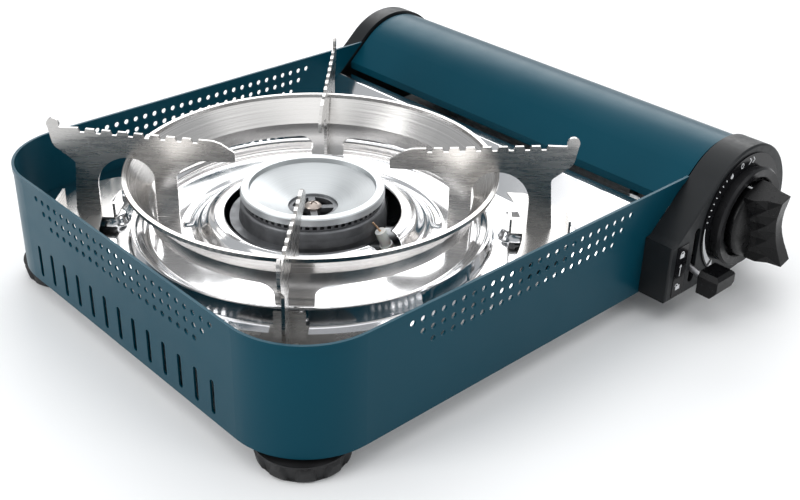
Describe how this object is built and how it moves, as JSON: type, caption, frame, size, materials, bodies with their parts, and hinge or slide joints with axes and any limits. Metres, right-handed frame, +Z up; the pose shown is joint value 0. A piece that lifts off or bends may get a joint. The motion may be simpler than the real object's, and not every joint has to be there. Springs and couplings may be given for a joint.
{
  "type": "portable gas stove",
  "caption": "Portable single-burner gas stove in a low tray, with toothed pot supports, a round wind ring, a drip pan, a domed canister lid, a control knob and a lock lever.",
  "frame": {"origin": "centre of the footprint's box, on the floor the feet stand on", "axes": "+X towards the canister bay and its lid, -Y towards the knob, +Z up"},
  "size_m": [0.3382, 0.322, 0.0967],
  "materials": {
    "teal_paint": "gloss",
    "pressed_steel": "satin",
    "mirror_steel": "polished",
    "brushed_steel": "brushed",
    "support_steel": "satin",
    "aluminium": "brushed",
    "cast_aluminium": "matte",
    "brass": "satin",
    "black_rubber": "matte",
    "grey_plastic": "matte",
    "black_plastic": "satin",
    "black_gloss": "gloss",
    "white_glaze": "glazed"
  },
  "bodies": {
    "stove": {"body_shell": "teal_paint", "base_plate": "pressed_steel", "bay_partition": "pressed_steel", "heat_strip": "aluminium", "foot_front_left": "black_rubber", "foot_front_right": "black_rubber", "foot_rear_left": "black_rubber", "foot_rear_right": "black_rubber", "foot_screws": "brushed_steel", "burner_bracket": "pressed_steel", "burner_bowl": "cast_aluminium", "port_ring": "cast_aluminium", "burner_cap": "aluminium", "burner_hub": "cast_aluminium", "burner_screw": "brass", "mixing_tube": "pressed_steel", "gas_jet": "brass", "gas_pipe": "brass", "regulator_body": "cast_aluminium", "regulator_diaphragm": "pressed_steel", "regulator_bracket": "pressed_steel", "nozzle_seal": "black_rubber", "piezo_igniter": "black_plastic", "electrode_ceramic": "white_glaze", "electrode_pin": "brushed_steel", "electrode_clip": "pressed_steel", "drip_pan": "mirror_steel", "hinge_leaf_front": "pressed_steel", "hinge_leaf_rear": "pressed_steel", "hinge_pin_front": "brushed_steel", "hinge_pin_rear": "brushed_steel", "control_panel": "grey_plastic", "rear_cap": "grey_plastic", "rear_cap_screws": "brushed_steel", "dial_plate": "black_gloss", "knob_bezel": "black_plastic", "lever_label": "black_gloss", "lever_bracket": "pressed_steel", "lever_pivot": "brushed_steel", "lever_spring": "brushed_steel"},
    "lid": {"lid": "teal_paint"},
    "knob": {"knob": "black_plastic", "knob_spindle": "brushed_steel"},
    "lever": {"lever_rod": "brushed_steel", "lever_tip": "black_plastic"},
    "carriage": {"canister_carriage": "pressed_steel"},
    "supports": {"wind_ring": "brushed_steel", "pan_support_front_left": "support_steel", "pan_support_front_right": "support_steel", "pan_support_rear_left": "support_steel", "pan_support_rear_right": "support_steel"}
  },
  "joints": [
    {"name": "lid_hinge", "type": "hinge", "parent": "stove", "child": "lid", "pos_m": [0.16658, 0.016, 0.027], "axis": [0, 1, 0], "range_deg": [0, 100]},
    {"name": "knob_turn", "type": "hinge", "parent": "stove", "child": "knob", "pos_m": [0.12618, -0.144, 0.0466], "axis": [0, 1, 0], "range_deg": [0, 130]},
    {"name": "lever_pivot_joint", "type": "hinge", "parent": "stove", "child": "lever", "pos_m": [0.08718, -0.102, 0.0345], "axis": [-1, 0, 0], "range_deg": [0, 30]},
    {"name": "carriage_slide", "type": "slide", "parent": "stove", "child": "carriage", "axis": [0, 1, 0], "range_m": [0, 0.00785]},
    {"name": "supports_lift", "type": "slide", "parent": "stove", "child": "supports", "axis": [0, 0, 1], "range_m": [0, 0.08]}
  ],
  "couplings": [
    {"joint": "lever_pivot_joint", "follows": "carriage_slide", "rad_per_m": 66.6}
  ]
}
